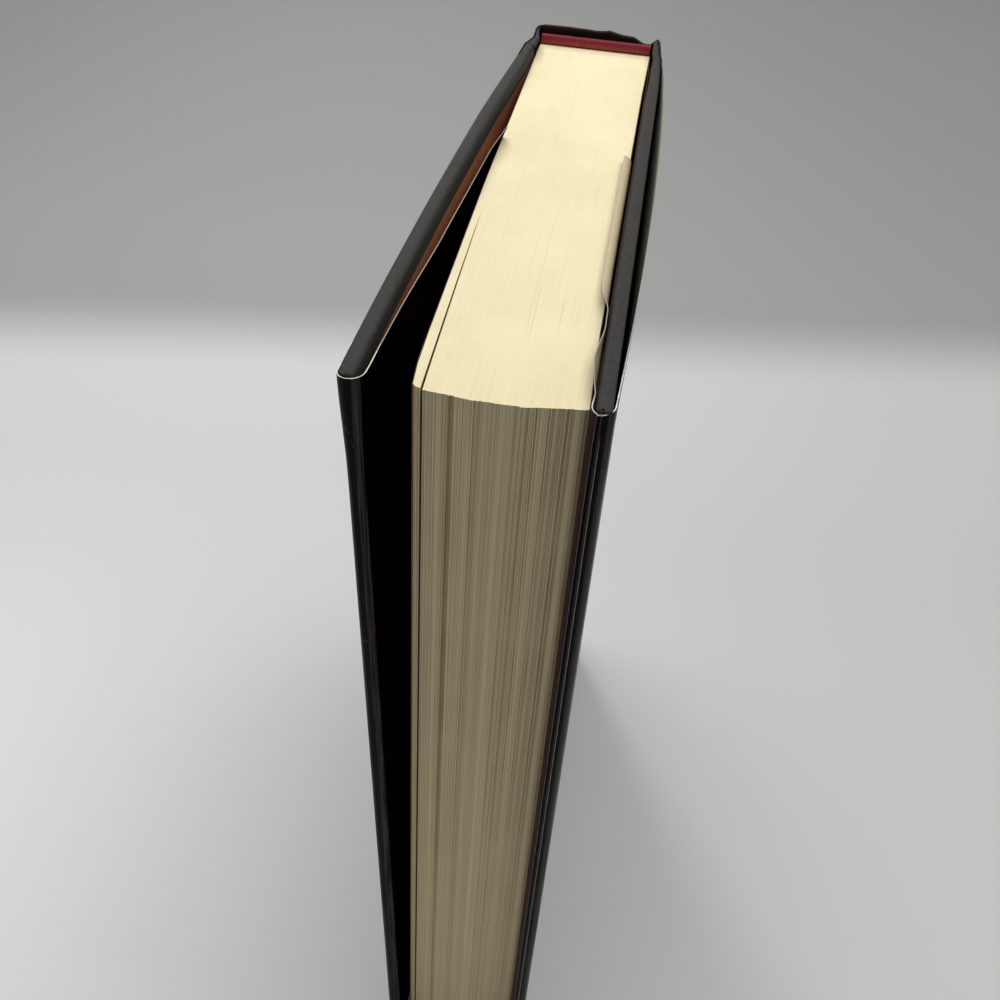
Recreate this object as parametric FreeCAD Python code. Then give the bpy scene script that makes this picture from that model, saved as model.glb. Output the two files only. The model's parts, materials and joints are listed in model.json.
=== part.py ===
import FreeCAD, Part
import math
import os

os.makedirs("parts", exist_ok=True)

# A hardback book in a paper jacket, standing on its tail. Millimetres.
# X runs across the thickness (front cover towards -X), Y from the fore-edge to the spine, Z up.
# Plan sections are drawn with u, the distance outwards from the nominal side face of the
# text block, and y, the depth from the plane of the fore-edge corners.

# Text block
page_depth = 156.0
page_height = 235.0
block_thickness = 29.7
gatherings = 24
gathering_crown = 0.06
fore_edge_bulge = 2.05
bulge_centre_share = 0.47
bulge_fullness = 0.8
sunk_gatherings = range(9, 15)
sunk_step = 0.22
front_spine_inset = 0.35
front_belly = 0.6
front_belly_start = 8.0
front_belly_end = 75.0
rear_spine_inset = 0.2
rear_hollow = 0.5
rear_hollow_start = 20.0
rear_hollow_end = 130.0
face_bend_radius = 900.0
corner_bend_radius = 30.0
loose_leaves_thickness = 1.4
loose_slit_width = 0.24
loose_slit_depth = 27.0
loose_slit_lean = 0.5

# Endpapers
endpaper_thickness = 0.15

# Case: boards, spine inlay and the paper that covers them
head_square = 3.1
fore_square = 4.2
board_thickness = 2.5
board_corner = 0.9
covering_thickness = 0.2
glue_thickness = 0.05
turn_in = 15.0
hinge_clearance = 9.0
cover_seat = 0.35
strip_thickness = 0.6
strip_margin = 0.1
spine_swell = 0.9
spine_bend_share = 0.9
hollow_back = 2.3

# Bumped rear corner of the spine's head: distance beyond the spine's edge, and depth below the head
bump_profile = ((-9.0, 0.0), (-5.5, 0.4), (-3.4, 1.5), (-2.2, 1.7), (-1.2, 1.6), (-0.4, 0.8), (0.4, 0.0))

# Hinges of the covers, in the joint grooves
pivot_out = 2.3
pivot_past_board = 2.5
hinge_slit = 0.32
tongue_lift = 0.1
root_lip_in = 1.35
root_lip_past_pivot = 0.67
groove_floor_out = 0.3
groove_past_pivot = 2.3
groove_radius = 1.5
spine_edge_out = 0.85
spine_edge_radius = 1.0

# How each cover stands at rest
front_opening_head = 2.97
front_opening_tail = 0.8
front_bow = 0.8
rear_opening = 0.3
rear_bow = 0.0
bow_bend_share = 0.8
twist_steps = 12

# Spine linings and bands
mull_thickness = 0.3
lining_thickness = 0.15
lining_margin = 2.0
band_tape_height = 12.0
band_bead_radius = 0.95
band_bead_rise = 0.75
band_gap = 1.0

# Jacket
jacket_thickness = 0.2
jacket_gap = 0.15
jacket_trim = 0.4
jacket_fold_radius = 1.3
jacket_shoulder_radius = 3.0
flap_depth = 96.0
flap_bend_share = 0.35
flap_bend_radius = 300.0
front_flap_stand_head = (1.2, 2.1, 2.8)
front_flap_stand_tail = (0.35, 0.35, 0.4)
rear_flap_stand = (0.4, 0.35, 0.3)
rear_panel_bulge = 1.1

# Sizes that follow
half = block_thickness / 2
case_height = page_height + 2 * head_square
text_tail = head_square
text_head = head_square + page_height
case_thickness = board_thickness + 2 * (covering_thickness + glue_thickness)
board_hinge_y = page_depth - hinge_clearance
pivot_y = board_hinge_y + pivot_past_board
case_outer_u = cover_seat + case_thickness
jacket_inner_u = case_outer_u + jacket_gap
board_middle_y = (board_hinge_y - fore_square) / 2
board_half_depth = (board_hinge_y + fore_square) / 2
spine_edge_x = half + spine_edge_out
spine_edge_y = page_depth + mull_thickness + lining_thickness + hollow_back + strip_thickness
spine_peak_y = spine_edge_y + spine_swell / (1 - spine_bend_share / 2)
spine_slope = (spine_peak_y - spine_edge_y) / spine_edge_x
spine_radius = spine_bend_share * spine_edge_x / spine_slope
FRONT = -1
REAR = 1


def unit(a, b):
    length = math.hypot(b[0] - a[0], b[1] - a[1])
    return ((b[0] - a[0]) / length, (b[1] - a[1]) / length)


def offset_path(path, shift):
    """Corners (a, b, radius) of an open path moved sideways, to its left for a positive shift."""
    moved = []
    for i, (a, b, radius) in enumerate(path):
        before = unit(path[i - 1], path[i]) if i > 0 else unit(path[0], path[1])
        after = unit(path[i], path[i + 1]) if i < len(path) - 1 else before
        n1 = (-before[1], before[0])
        n2 = (-after[1], after[0])
        spread = 1 + n1[0] * n2[0] + n1[1] * n2[1]
        turn = before[0] * after[1] - before[1] * after[0]
        moved.append((a + shift * (n1[0] + n2[0]) / spread,
                      b + shift * (n1[1] + n2[1]) / spread,
                      radius - math.copysign(shift, turn * shift) if radius > 0 else 0))
    return moved


def band(path, near, far):
    """Closed section of a sheet that lies between two offsets of a path."""
    return offset_path(path, near) + list(reversed(offset_path(path, far)))


def section_wire(corners, z):
    """Closed wire through corners (x, y, radius), each radius a tangent arc."""
    count = len(corners)
    starts, ends, middles = [], [], []
    for i, (x, y, radius) in enumerate(corners):
        before = unit(corners[i - 1], corners[i])
        after = unit(corners[i], corners[(i + 1) % count])
        turn = math.atan2(before[0] * after[1] - before[1] * after[0],
                          before[0] * after[0] + before[1] * after[1])
        run = radius * math.tan(abs(turn) / 2)
        starts.append((x - run * before[0], y - run * before[1]))
        ends.append((x + run * after[0], y + run * after[1]))
        lift = radius / math.cos(turn / 2) - radius
        bisector = unit((0, 0), (after[0] - before[0], after[1] - before[1])) if radius > 0 else (0, 0)
        middles.append((x + lift * bisector[0], y + lift * bisector[1]))
    edges = []
    for i in range(count):
        if corners[i][2] > 0:
            points = [FreeCAD.Vector(p[0], p[1], z) for p in (starts[i], middles[i], ends[i])]
            edges.append(Part.Arc(*points).toShape())
        here = FreeCAD.Vector(ends[i][0], ends[i][1], z)
        there = FreeCAD.Vector(starts[(i + 1) % count][0], starts[(i + 1) % count][1], z)
        edges.append(Part.makeLine(here, there))
    return Part.Wire(edges)


def prism(corners, low, high):
    """Upright solid of one plan section."""
    return Part.Face(section_wire(corners, low)).extrude(FreeCAD.Vector(0, 0, high - low))


def swing(corners, side, opening):
    """Turns a section drawn on a closed cover about its hinge, and puts it on its side of the block."""
    c, s = math.cos(math.radians(opening)), math.sin(math.radians(opening))
    placed = []
    for u, y, radius in corners:
        du, dy = u - pivot_out, y - pivot_y
        placed.append((side * (half + pivot_out + du * c - dy * s), pivot_y + dy * c + du * s, radius))
    return placed


def slab(low, high):
    """A block over the whole plan between two heights, to trim with."""
    reach = page_height
    return Part.makeBox(2 * reach, 2 * reach, high - low, FreeCAD.Vector(-reach, -reach, low))


def twisted(side, tail_corners, head_corners, openings, low, high):
    """Cover piece whose section turns evenly from the tail's opening to the head's.
    It is drawn in short steps, so that a mesh of its twisted faces keeps to their shape."""
    if openings[0] == openings[1] and tail_corners == head_corners:
        return prism(swing(tail_corners, side, openings[0]), low, high)
    tail = swing(tail_corners, side, openings[0])
    head = swing(head_corners, side, openings[1])
    wires = []
    for i in range(twist_steps + 1):
        share = i / twist_steps
        corners = [[a + (b - a) * share for a, b in zip(p, q)] for p, q in zip(tail, head)]
        wires.append(section_wire(corners, case_height * share))
    return Part.makeLoft(wires, True, True).common(slab(low, high)).Solids[0]


def board_line(bow, distance, start, end):
    """Line along the board at a distance outside its inner face, from depth start to depth end."""
    if bow == 0:
        return [(cover_seat + distance, start, 0), (cover_seat + distance, end, 0)]
    rise = bow / (1 - bow_bend_share / 2)
    slope = rise / board_half_depth
    radius = bow_bend_share * board_half_depth / slope + distance

    def out(y):
        return cover_seat + distance * math.hypot(1, slope) + rise - slope * abs(y - board_middle_y)
    return [(out(start), start, 0), (out(board_middle_y), board_middle_y, radius), (out(end), end, 0)]


def board_inner(bow, y):
    """Distance of the board's inner face outside the nominal side face, at a depth."""
    away = abs(y - board_middle_y) / board_half_depth
    rise = bow / (1 - bow_bend_share / 2)
    if away > bow_bend_share:
        return cover_seat + rise * (1 - away)
    return cover_seat + bow - rise * away ** 2 / (2 * bow_bend_share)


def with_radius(corner, radius):
    return (corner[0], corner[1], radius)


def fuse_all(pieces):
    whole = pieces[0]
    for piece in pieces[1:]:
        whole = whole.fuse(piece)
    return whole.removeSplitter()


def block_side(inset, swell, start, end):
    """Side face of the text block from the spine to the fore-edge corner."""
    return [(-inset, page_depth, 0), (swell, end, face_bend_radius),
            (swell, start, corner_bend_radius), (0.0, 0.0, 0)]


front_side = block_side(front_spine_inset, front_belly, front_belly_start, front_belly_end)
rear_side = block_side(rear_spine_inset, -rear_hollow, rear_hollow_start, rear_hollow_end)


def on_side(corners, side):
    return [(side * (half + u), y, radius) for u, y, radius in corners]


def fore_edge_y(x):
    """The fore-edge swells to a crest a little to the front of the middle."""
    crest = -half + bulge_centre_share * block_thickness
    reach = half + abs(crest)
    return -fore_edge_bulge * max(0.0, 1 - ((x - crest) / reach) ** 2) ** bulge_fullness


def fore_edge_arcs(z):
    """One slightly crowned arc for each gathering, some of them sunk a little, with steps between."""
    edges = []
    width = block_thickness / gatherings
    last = None
    for i in range(gatherings):
        sunk = sunk_step if i in sunk_gatherings else 0.0
        xs = [-half + (i + share) * width for share in (0.0, 0.5, 1.0)]
        ys = [fore_edge_y(x) + sunk for x in xs]
        ys[1] -= gathering_crown
        if i == 0:
            ys[0] = 0.0
        if i == gatherings - 1:
            ys[2] = 0.0
        points = [FreeCAD.Vector(x, y, z) for x, y in zip(xs, ys)]
        if last is not None and last.distanceToPoint(points[0]) > 0.01:
            edges.append(Part.makeLine(last, points[0]))
        edges.append(Part.Arc(*points).toShape())
        last = points[2]
    return edges


def make_text_block():
    """All the leaves as one solid; the first few stand off the rest along a narrow slit."""
    z = text_tail
    corners = on_side(front_side, FRONT) + list(reversed(on_side(rear_side, REAR)))
    sides = [edge for edge in section_wire(corners, z).Edges if edge.BoundBox.YMax > 0.001]
    ring = Part.Wire(Part.__sortEdges__(sides + fore_edge_arcs(z)))
    block = Part.Face(ring).extrude(FreeCAD.Vector(0, 0, page_height))
    mouth = -half + loose_leaves_thickness
    slit = [(mouth, -2 * fore_edge_bulge, 0), (mouth + loose_slit_width, -2 * fore_edge_bulge, 0),
            (mouth - loose_slit_lean, loose_slit_depth, 0)]
    return block.cut(prism(slit, z - 1, text_head + 1))


def make_flyleaf(side):
    """Free leaf of the endpaper, against the side of the block."""
    path = on_side(front_side if side == FRONT else rear_side, side)
    return prism(band(path, 0, side * endpaper_thickness), text_tail, text_head)


def make_mull():
    """Gauze glued over the backs of the gatherings, between the tapes of the two bands."""
    width = block_thickness - front_spine_inset - rear_spine_inset
    height = page_height - 2 * band_tape_height - 2 * band_gap
    corner = FreeCAD.Vector(-half + front_spine_inset, page_depth, text_tail + band_tape_height + band_gap)
    return Part.makeBox(width, mull_thickness, height, corner)


def make_lining():
    """Kraft paper over the gauze and the tapes."""
    width = block_thickness - front_spine_inset - rear_spine_inset
    corner = FreeCAD.Vector(-half + front_spine_inset, page_depth + mull_thickness,
                            text_tail + lining_margin)
    return Part.makeBox(width, lining_thickness, page_height - 2 * lining_margin, corner)


def make_band(edge_z, up):
    """Tape glued to the spine end of the block, with a sewn bead along its outer edge."""
    width = block_thickness - front_spine_inset - rear_spine_inset
    x = -half + front_spine_inset
    bead_z = edge_z + up * band_bead_rise
    low = min(edge_z - up * band_tape_height, bead_z)
    tape = Part.makeBox(width, mull_thickness, abs(bead_z - edge_z) + band_tape_height,
                        FreeCAD.Vector(x, page_depth, low))
    bead = Part.makeCylinder(band_bead_radius, width,
                             FreeCAD.Vector(x, page_depth + band_bead_radius, bead_z),
                             FreeCAD.Vector(1, 0, 0))
    return tape.fuse(bead).removeSplitter()


def spine_path():
    """Inner face of the covering from hinge to hinge: groove, spine edge, swelled spine and back."""
    left = [(-(half + pivot_out - root_lip_in), pivot_y + root_lip_past_pivot, 0),
            (-(half + groove_floor_out), pivot_y + groove_past_pivot, groove_radius),
            (-spine_edge_x, spine_edge_y, spine_edge_radius)]
    right = [(-x, y, radius) for x, y, radius in reversed(left)]
    return left + [(0, spine_peak_y, spine_radius)] + right


def strip_path():
    """Outer face of the spine inlay, on the same curve as the covering."""
    x = spine_edge_x - spine_edge_radius - strip_margin
    y = spine_edge_y + spine_slope * (spine_edge_x - x)
    return [(-x, y, 0), (0, spine_peak_y, spine_radius), (x, y, 0)]


def bumped(shape):
    """Takes the bumped corner out of a spine piece's head."""
    rim = [(spine_edge_x + beyond, case_height - depth) for beyond, depth in bump_profile]
    rim = [(rim[0][0], 2 * case_height)] + rim + [(rim[-1][0], 2 * case_height)]
    corners = [FreeCAD.Vector(x, spine_edge_y - spine_edge_radius, z) for x, z in rim + rim[:1]]
    away = FreeCAD.Vector(0, page_depth, 0)
    return shape.cut(Part.Face(Part.makePolygon(corners)).extrude(away)).Solids[0]


def make_spine_strip():
    return bumped(prism(band(strip_path(), 0, -strip_thickness),
                        covering_thickness, case_height - covering_thickness))


def make_spine_covering():
    """Sheet over the inlay and down into both grooves, turned in over its head and tail."""
    t = covering_thickness
    inner = -strip_thickness - t
    pieces = [prism(band(spine_path(), 0, t), 0, case_height)]
    for low, cap in ((0, 0), (case_height - turn_in, case_height - t)):
        pieces.append(prism(band(strip_path(), inner, 0), cap, cap + t))
        pieces.append(prism(band(strip_path(), inner, -strip_thickness), low, low + turn_in))
    return bumped(fuse_all(pieces))


def make_jacket_spine():
    path = offset_path(spine_path(), covering_thickness + jacket_gap)
    return bumped(prism(band(path, 0, jacket_thickness), jacket_trim, case_height - jacket_trim))


class Cover:
    """One cover: its side, its rest openings at tail and head, and its bow."""

    def __init__(self, side, openings, bow, flap_tail, flap_head, panel_bulge):
        self.side = side
        self.openings = openings
        self.bow = bow
        self.flap_tail = flap_tail
        self.flap_head = flap_head
        self.panel_bulge = panel_bulge

    def solid(self, corners, low, high, head_corners=None):
        return twisted(self.side, corners, head_corners or corners, self.openings, low, high)

    def board_section(self):
        skin = covering_thickness + glue_thickness
        inner = board_line(self.bow, skin, board_hinge_y, -fore_square + skin)
        outer = board_line(self.bow, case_thickness - skin, board_hinge_y, -fore_square + skin)
        inner[-1] = with_radius(inner[-1], board_corner)
        outer[-1] = with_radius(outer[-1], board_corner)
        return inner + list(reversed(outer))

    def board(self):
        skin = covering_thickness + glue_thickness
        return self.solid(self.board_section(), skin, case_height - skin)

    def tongue(self):
        """Where the covering leaves the board for the groove: points on its outer face."""
        y = board_hinge_y + covering_thickness
        shoulder = (board_line(self.bow, case_thickness, y, -fore_square)[0][0], y, 0)
        tip = (pivot_out + covering_thickness / 2 + tongue_lift, pivot_y - hinge_slit, 0)
        return shoulder, tip

    def wrap_section(self, turn_in_end):
        """Sheet round the board: tongue, outer face, fore-edge, and inner face to a given depth."""
        shoulder, tip = self.tongue()
        outer = board_line(self.bow, case_thickness, board_hinge_y, -fore_square)
        inner = board_line(self.bow, 0, -fore_square, turn_in_end)
        corner = board_corner + covering_thickness
        path = [tip, shoulder] + outer[1:-1] + [with_radius(outer[-1], corner)]
        path += [with_radius(inner[0], corner)]
        if self.bow and turn_in_end < board_middle_y:
            slope_end = board_line(self.bow, 0, turn_in_end, -fore_square)[0]
            path += [(slope_end[0], turn_in_end, 0)]
        else:
            path += inner[1:]
        return band(path, 0, -covering_thickness)

    def cap_section(self):
        """Head and tail edges of the covered board, closed over by the sheet."""
        shoulder, tip = self.tongue()
        corner = board_corner + covering_thickness
        outer = board_line(self.bow, case_thickness, board_hinge_y, -fore_square)
        inner = board_line(self.bow, 0, board_hinge_y, -fore_square)
        rim = outer[1:-1] + [with_radius(outer[-1], corner), with_radius(inner[-1], corner)]
        rim += list(reversed(inner[1:-1])) + [inner[0]]
        under = offset_path([tip, shoulder, outer[-1]], -covering_thickness)
        foot = (under[1][0], board_hinge_y, 0)
        return [tip, shoulder] + rim + [foot, under[1], under[0]]

    def covering(self):
        t = covering_thickness
        closed = self.cap_section()
        full = self.wrap_section(board_hinge_y)
        short = self.wrap_section(-fore_square + turn_in)
        return fuse_all([self.solid(closed, 0, t),
                         self.solid(full, t, turn_in),
                         self.solid(short, turn_in, case_height - turn_in),
                         self.solid(full, case_height - turn_in, case_height - t),
                         self.solid(closed, case_height - t, case_height)])

    def pastedown(self):
        """Half of the endpaper that is glued inside the cover, over the turn-ins."""
        line = board_line(self.bow, 0, board_hinge_y, -fore_square + head_square)
        section = band(line, -glue_thickness, -glue_thickness - endpaper_thickness)
        return self.solid(section, text_tail, text_head)

    def jacket_section(self, stand):
        """Outer panel, fold round the fore-edge, and the flap that stands off the board inside."""
        fore_y = -fore_square - jacket_gap
        fold, middle, end = stand
        panel = board_line(self.bow or self.panel_bulge, case_thickness + jacket_gap,
                           board_hinge_y, fore_y)
        bend_y = fore_y + flap_bend_share * flap_depth
        end_y = fore_y + flap_depth
        tip = (pivot_out + covering_thickness / 2 + jacket_gap + tongue_lift, pivot_y - hinge_slit, 0)
        path = [tip, (jacket_inner_u, board_hinge_y, jacket_shoulder_radius)]
        path += panel[1:-1]
        path += [(jacket_inner_u, fore_y, jacket_fold_radius),
                 (board_inner(self.bow, fore_y) - fold, fore_y, jacket_fold_radius),
                 (board_inner(self.bow, bend_y) - middle, bend_y, flap_bend_radius),
                 (board_inner(self.bow, end_y) - end, end_y, 0)]
        return band(path, 0, jacket_thickness)

    def jacket(self):
        return self.solid(self.jacket_section(self.flap_tail), jacket_trim,
                          case_height - jacket_trim, self.jacket_section(self.flap_head))


front = Cover(FRONT, (front_opening_tail, front_opening_head), front_bow,
              front_flap_stand_tail, front_flap_stand_head, 0.0)
rear = Cover(REAR, (rear_opening, rear_opening), rear_bow,
             rear_flap_stand, rear_flap_stand, rear_panel_bulge)

nodes = {
    "text_block": make_text_block(),
    "front_flyleaf": make_flyleaf(FRONT),
    "rear_flyleaf": make_flyleaf(REAR),
    "head_band": make_band(text_head, 1),
    "tail_band": make_band(text_tail, -1),
    "spine_mull": make_mull(),
    "spine_lining": make_lining(),
    "spine_strip": make_spine_strip(),
    "spine_covering": make_spine_covering(),
    "jacket_spine": make_jacket_spine(),
    "front_board": front.board(),
    "front_board_covering": front.covering(),
    "front_pastedown": front.pastedown(),
    "jacket_front": front.jacket(),
    "rear_board": rear.board(),
    "rear_board_covering": rear.covering(),
    "rear_pastedown": rear.pastedown(),
    "jacket_rear": rear.jacket(),
}

# The origin is the middle of the bottom of the box that holds every piece.
box = FreeCAD.BoundBox()
for shape in nodes.values():
    box.add(shape.BoundBox)
shift = FreeCAD.Vector(-box.Center.x, -box.Center.y, -box.ZMin)

for name, shape in nodes.items():
    placed = shape.translated(shift)
    placed.exportStep("parts/%s.step" % name)
    print(name, len(placed.Solids), placed.isValid(), round(placed.Volume, 1))

for name, side in (("front hinge", FRONT), ("rear hinge", REAR)):
    print(name, round(side * (half + pivot_out) + shift.x, 4), round(pivot_y + shift.y, 4))
print("box", [round(v, 3) for v in (box.XLength, box.YLength, box.ZLength)])
print("shift", [round(v, 4) for v in (shift.x, shift.y, shift.z)])
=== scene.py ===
import json
import math
import random

import bmesh
import bpy
from mathutils import Matrix, Vector, noise


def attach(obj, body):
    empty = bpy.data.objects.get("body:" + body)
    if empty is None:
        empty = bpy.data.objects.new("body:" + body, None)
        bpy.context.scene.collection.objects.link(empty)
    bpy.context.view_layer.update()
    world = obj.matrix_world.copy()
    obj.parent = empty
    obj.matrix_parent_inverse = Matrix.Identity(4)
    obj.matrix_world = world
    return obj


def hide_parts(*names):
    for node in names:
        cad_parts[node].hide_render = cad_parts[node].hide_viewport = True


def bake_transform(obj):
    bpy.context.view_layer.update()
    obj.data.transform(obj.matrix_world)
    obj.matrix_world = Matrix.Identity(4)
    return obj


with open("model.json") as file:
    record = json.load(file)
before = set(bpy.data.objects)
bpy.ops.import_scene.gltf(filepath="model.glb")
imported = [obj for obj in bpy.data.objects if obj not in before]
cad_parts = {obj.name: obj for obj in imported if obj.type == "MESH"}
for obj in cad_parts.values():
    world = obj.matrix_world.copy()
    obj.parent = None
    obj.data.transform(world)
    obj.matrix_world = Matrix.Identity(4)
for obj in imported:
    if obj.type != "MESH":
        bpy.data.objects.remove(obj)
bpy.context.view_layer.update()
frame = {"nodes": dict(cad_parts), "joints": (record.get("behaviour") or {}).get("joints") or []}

# Sizes in millimetres; those down to REAR are the solids' own. Plan sections use u, the distance
# outwards from the nominal side face of the text block, and y, the depth from the fore-edge
# corners; z is the height above the tails of the boards.
MM = 0.001
page_depth = 156.0
page_height = 235.0
head_square = 3.1
fore_square = 4.2
case_height = page_height + 2 * head_square
text_tail = head_square
text_head = head_square + page_height
cover_seat = 0.35
case_thickness = 3.0
covering_thickness = 0.2
board_hinge_y = 147.0
pivot_out = 2.3
pivot_y = 149.5
endpaper_thickness = 0.15
FRONT = -1
REAR = 1

hinges = {joint["name"]: Vector(joint["pos_m"]) for joint in frame["joints"]}
front_hinge = hinges["front_cover_hinge"]
rear_hinge = hinges["rear_cover_hinge"]
half = (rear_hinge.x - front_hinge.x) / (2 * MM) - pivot_out
origin = Vector(((front_hinge.x + rear_hinge.x) / 2, front_hinge.y - pivot_y * MM, 0))

# Degrees that each cover stands open at its tail and at its head, and how far it is bowed.
openings = {FRONT: (0.62, 2.97), REAR: (0.2, 0.2)}
bows = {FRONT: 0.8, REAR: 0.0}
bow_bend_share = 0.8
board_middle_y = (board_hinge_y - fore_square) / 2
board_half_depth = (board_hinge_y + fore_square) / 2
body_of_cover = {FRONT: "front_cover", REAR: "rear_cover"}
word = {FRONT: "front", REAR: "rear"}


def smooth(t):
    t = min(1.0, max(0.0, t))
    return t * t * (3 - 2 * t)


def ramp(value, low, high):
    """0 below low and 1 above high."""
    return smooth((value - low) / (high - low))


def mix(a, b, share):
    return a + (b - a) * share


def along(points, t):
    """Value at t on a line of (t, value) points in rising order, level beyond its ends."""
    if t <= points[0][0]:
        return points[0][1]
    for (a, low), (b, high) in zip(points, points[1:]):
        if t <= b:
            return mix(low, high, (t - a) / (b - a))
    return points[-1][1]


def row(x, y, z):
    """Local millimetres to metres in the frame."""
    return origin + Vector((x, y, z)) * MM


def on_block(side, u, y, z):
    return row(side * (half + u), y, z)


# How far the front cover's head stands outside its plain curve, at each depth: it bends sharply
# beside the joint and then stands further off.
front_shape = ((-4.0, 0.6), (19.0, 0.7), (37.0, 0.62), (58.0, 0.55), (82.0, 0.32), (109.0, 0.1),
               (120.0, -0.3), (135.0, -0.62), (147.0, -0.45), (149.0, -0.2), (151.0, 0.0))
front_shape_low_z = 218.0


def on_cover(side, u, y, z):
    """A point drawn on the closed cover, turned about the hinge by the opening at its height."""
    share = z / case_height
    if side == FRONT:
        u += along(front_shape, y) * ramp(z, front_shape_low_z, case_height)
    out = deep = 0.0
    for weight, opening in zip((1 - share, share), openings[side]):
        c, s = math.cos(math.radians(opening)), math.sin(math.radians(opening))
        du, dy = u - pivot_out, y - pivot_y
        out += weight * (pivot_out + du * c - dy * s)
        deep += weight * (pivot_y + dy * c + du * s)
    return row(side * (half + out), deep, z)


# Sheets follow the cover before joint_end and the block after joint_start.
joint_start = 150.2
joint_end = 148.6


def on_sheet(side, u, y, z):
    """A point of a sheet that bends from the block to the cover."""
    return on_cover(side, u, y, z).lerp(on_block(side, u, y, z), ramp(y, joint_end, joint_start))


def blended(piece):
    """Bakes a sheet's placing into its mesh; its points already bend from the block to its cover."""
    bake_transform(piece)


def board_inner(bow, y):
    """Distance of the closed board's inner face outside the nominal side face."""
    away = abs(y - board_middle_y) / board_half_depth
    rise = bow / (1 - bow_bend_share / 2)
    if away > bow_bend_share:
        return cover_seat + rise * (1 - away)
    return cover_seat + bow - rise * away ** 2 / (2 * bow_bend_share)


# Mesh helpers

def finish_mesh(name, bm, materials, sharp_angle=math.radians(38)):
    """Turns a bmesh into an object, smooth apart from its sharp edges."""
    bmesh.ops.recalc_face_normals(bm, faces=bm.faces)
    for face in bm.faces:
        face.smooth = True
    for edge in bm.edges:
        if len(edge.link_faces) == 2:
            one, two = edge.link_faces
            if one.material_index != two.material_index or edge.calc_face_angle(0) > sharp_angle:
                edge.smooth = False
    mesh = bpy.data.meshes.new(name)
    bm.to_mesh(mesh)
    bm.free()
    for material in materials:
        mesh.materials.append(material)
    piece = bpy.data.objects.new(name, mesh)
    bpy.context.scene.collection.objects.link(piece)
    return piece


def grid_sheet(name, outer, inner, lengths, materials):
    """Closed thin sheet between two grids of points, outer[level][column] and inner[level][column].
    Material 0 is outside, 1 inside and 2 on the cut edges; the map is (length along, height)."""
    bm = bmesh.new()
    uv = bm.loops.layers.uv.new("sheet")
    last_level, last_column = len(outer) - 1, len(outer[0]) - 1
    faces = [[[bm.verts.new(point) for point in line] for line in grid] for grid in (outer, inner)]

    def add(corners, index):
        """A face through corners (grid, level, column)."""
        face = bm.faces.new([faces[grid][i][k] for grid, i, k in corners])
        face.material_index = index
        for loop, (grid, i, k) in zip(face.loops, corners):
            loop[uv].uv = (lengths[k], loop.vert.co.z)

    for i in range(last_level):
        for k in range(last_column):
            places = [(i, k), (i, k + 1), (i + 1, k + 1), (i + 1, k)]
            add([(0, *place) for place in places], 0)
            add([(1, *place) for place in reversed(places)], 1)
    rim = [(0, k) for k in range(last_column)] + [(i, last_column) for i in range(last_level)]
    rim += [(last_level, k) for k in range(last_column, 0, -1)] + [(i, 0) for i in range(last_level, 0, -1)]
    for one, two in zip(rim, rim[1:] + rim[:1]):
        add([(0, *one), (0, *two), (1, *two), (1, *one)], 2)
    return finish_mesh(name, bm, materials)


def add_tube_sides(bm, rings):
    """Faces between neighbouring rings of corners."""
    count = len(rings[0])
    for one, two in zip(rings, rings[1:]):
        for k in range(count):
            bm.faces.new([one[k], one[(k + 1) % count], two[(k + 1) % count], two[k]])


def unit(a, b):
    """Direction from one plan point to another."""
    length = math.hypot(b[0] - a[0], b[1] - a[1])
    return ((b[0] - a[0]) / length, (b[1] - a[1]) / length)


corner_arc_steps = 8


def round_path(corners, counts, arc_steps=corner_arc_steps):
    """Points along corners (u, y, radius), with counts[i] steps on the run after corner i."""
    last = len(corners) - 1
    previous_end = corners[0][:2]
    points = [previous_end]
    for i in range(1, last + 1):
        u, y, radius = corners[i]
        if i < last and radius > 0:
            before, after = unit(corners[i - 1], corners[i]), unit(corners[i], corners[i + 1])
            cross = before[0] * after[1] - before[1] * after[0]
            turn = math.atan2(cross, before[0] * after[0] + before[1] * after[1])
            run = radius * math.tan(abs(turn) / 2)
            start = (u - run * before[0], y - run * before[1])
            sign = 1 if cross > 0 else -1
            centre = (start[0] - sign * radius * before[1], start[1] + sign * radius * before[0])
        else:
            start = (u, y)
        for step in range(1, counts[i - 1] + 1):
            share = step / counts[i - 1]
            points.append((mix(previous_end[0], start[0], share), mix(previous_end[1], start[1], share)))
        previous_end = start
        if i < last and radius > 0:
            angle = math.atan2(start[1] - centre[1], start[0] - centre[0])
            for step in range(1, arc_steps + 1):
                a = angle + turn * step / arc_steps
                points.append((centre[0] + radius * math.cos(a), centre[1] + radius * math.sin(a)))
            previous_end = points[-1]
    return points


def directions(points):
    """Direction of the line at each of its points."""
    return [unit(points[max(0, i - 1)], points[min(len(points) - 1, i + 1)]) for i in range(len(points))]


def shifted(points, distance):
    """The same line moved sideways, to its left for a positive distance."""
    return [(u - ty * distance, y + tu * distance) for (u, y), (tu, ty) in zip(points, directions(points))]


def path_lengths(points):
    """Metres along a line at each of its points."""
    total, lengths = 0.0, [0.0]
    for a, b in zip(points, points[1:]):
        total += math.hypot(b[0] - a[0], b[1] - a[1]) * MM
        lengths.append(total)
    return lengths


def heights(low, high, count, ends=()):
    """Even heights from low to high, with extra ones given as distances from both ends."""
    values = {low + (high - low) * i / count for i in range(count + 1)}
    for d in ends:
        values |= {low + d, high - d}
    return sorted(values)


# Materials

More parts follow.
